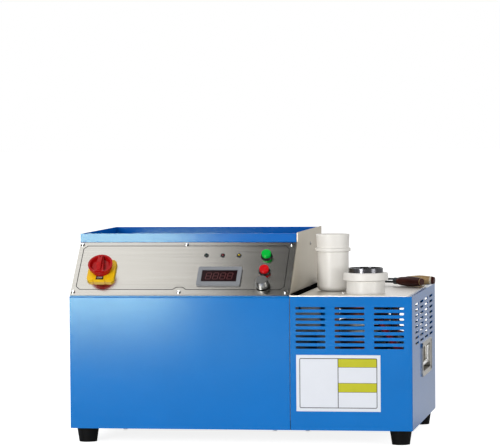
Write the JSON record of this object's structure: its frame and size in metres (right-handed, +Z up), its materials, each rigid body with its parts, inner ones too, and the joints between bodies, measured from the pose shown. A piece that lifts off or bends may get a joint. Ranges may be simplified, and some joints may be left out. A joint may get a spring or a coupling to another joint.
{
  "type": "electric gold melting furnace",
  "caption": "Bench-top induction furnace: blue cabinet with a sloped control console, a tray on top, a crucible mouth in a vented box, a spare crucible and tongs.",
  "frame": {"origin": "on the floor under the centre of the machine's bounding box, with the tongs that overhang the right side and the cable gland at the back counted in", "axes": "+X to the operator's right, +Y towards the back, +Z up"},
  "size_m": [0.6125, 0.4204, 0.3635],
  "materials": {
    "black_plastic": "matt",
    "black_rubber": "matt",
    "blue_paint": "satin powder coat",
    "board_brown": "matt",
    "capacitor_blue": "satin",
    "circuit_green": "satin",
    "copper": "satin",
    "dark_wood": "varnished",
    "ferrite": "matt",
    "graphite": "polished rim",
    "green_lens": "gloss",
    "green_plastic": "gloss",
    "grey_plastic": "satin",
    "hose_red": "satin",
    "pan_paint": "matt paint",
    "polished_steel": "polished",
    "red_lens": "gloss",
    "red_plastic": "gloss",
    "red_window": "gloss",
    "spun_aluminium": "satin",
    "stainless": "brushed",
    "tan_wood": "varnished",
    "tank_plastic": "translucent",
    "tong_steel": "darkened",
    "tray_paint": "satin powder coat",
    "white_card": "satin",
    "white_ceramic": "smooth",
    "yellow_lens": "gloss",
    "yellow_plastic": "satin",
    "zinc_sheet": "zinc plated"
  },
  "bodies": {
    "cabinet": {"base_pan": "pan_paint", "control_shell": "blue_paint", "furnace_shell": "blue_paint", "rear_panel": "blue_paint", "partition": "zinc_sheet", "top_tray": "tray_paint", "control_panel": "stainless", "heat_shield": "stainless", "furnace_top_plate": "stainless", "shield_gasket": "black_rubber", "rubber_feet": "black_rubber", "foot_screws": "polished_steel", "panel_screws": "polished_steel", "case_screws": "polished_steel", "right_handle_dish": "stainless", "left_handle_dish": "stainless", "switch_plate": "yellow_plastic", "switch_legend": "black_plastic", "switch_body": "black_plastic", "meter_case": "grey_plastic", "meter_window": "red_window", "lamp_bezels": "polished_steel", "green_lamp": "green_lens", "red_lamp": "red_lens", "yellow_lamp": "yellow_lens", "button_collars": "black_plastic", "button_bodies": "black_plastic", "potentiometer": "zinc_sheet", "label_card": "white_card", "furnace_liner": "white_ceramic", "induction_coil": "copper", "coil_stand": "board_brown", "bus_bars": "copper", "matching_transformer": "ferrite", "heat_sink": "spun_aluminium", "capacitor_bank": "capacitor_blue", "control_board": "circuit_green", "fan_frame": "black_plastic", "fan_guard": "polished_steel", "radiator": "spun_aluminium", "water_tank": "tank_plastic", "water_pump": "black_plastic", "coolant_hoses": "hose_red", "cable_gland": "black_plastic"},
    "switch_knob": {"switch_knob": "red_plastic"},
    "green_button": {"green_button": "green_plastic"},
    "red_button": {"red_button": "red_plastic"},
    "power_knob": {"power_knob": "spun_aluminium"},
    "right_bail": {"right_bail": "polished_steel"},
    "left_bail": {"left_bail": "polished_steel"},
    "fan_rotor": {"fan_rotor": "black_plastic"},
    "crucible": {"crucible": "graphite"},
    "spare_sleeve": {"spare_sleeve": "white_ceramic"},
    "spare_cup": {"spare_cup": "white_ceramic"},
    "tongs_front": {"tong_front_arm": "tong_steel", "front_grip": "dark_wood", "tong_rivet": "tong_steel"},
    "tongs_rear": {"tong_rear_arm": "tong_steel", "rear_grip": "tan_wood"}
  },
  "joints": [
    {"name": "switch_turn", "type": "hinge", "parent": "cabinet", "child": "switch_knob", "pos_m": [-0.25409, -0.16883, 0.29642], "axis": [0, -0.6916, 0.7223], "range_deg": [-90, 0]},
    {"name": "green_press", "type": "slide", "parent": "cabinet", "child": "green_button", "axis": [0, 0.6916, -0.7223], "range_m": [0, 0.0035], "stiffness_N_per_m": 250, "springref_m": -0.002},
    {"name": "red_press", "type": "slide", "parent": "cabinet", "child": "red_button", "axis": [0, 0.6916, -0.7223], "range_m": [0, 0.0035], "stiffness_N_per_m": 250, "springref_m": -0.002},
    {"name": "power_turn", "type": "hinge", "parent": "cabinet", "child": "power_knob", "pos_m": [0.03391, -0.19086, 0.27533], "axis": [0, -0.6916, 0.7223], "range_deg": [-270, 0]},
    {"name": "right_bail_fold", "type": "hinge", "parent": "cabinet", "child": "right_bail", "pos_m": [0.29121, 0.025, 0.15], "axis": [0, -1, 0], "range_deg": [0, 90]},
    {"name": "left_bail_fold", "type": "hinge", "parent": "cabinet", "child": "left_bail", "pos_m": [-0.29939, 0.025, 0.15], "axis": [0, 1, 0], "range_deg": [0, 90]},
    {"name": "fan_spin", "type": "hinge", "parent": "cabinet", "child": "fan_rotor", "pos_m": [-0.17409, 0.176, 0.146], "axis": [0, 1, 0], "continuous": true},
    {"name": "crucible_lift", "type": "slide", "parent": "cabinet", "child": "crucible", "axis": [0, 0, 1], "range_m": [0, 0.16]},
    {"name": "spare_lift", "type": "slide", "parent": "cabinet", "child": "spare_sleeve", "axis": [0, 0, 1], "range_m": [0, 0.12]},
    {"name": "cup_lift", "type": "slide", "parent": "spare_sleeve", "child": "spare_cup", "axis": [0, 0, 1], "range_m": [0, 0.08]},
    {"name": "tongs_lift", "type": "slide", "parent": "cabinet", "child": "tongs_front", "axis": [0, 0, 1], "range_m": [0, 0.12]},
    {"name": "tongs_pivot", "type": "hinge", "parent": "tongs_front", "child": "tongs_rear", "pos_m": [0.17691, 0.115, 0.2678], "axis": [0, 0, 1], "range_deg": [-7, 28]}
  ]
}
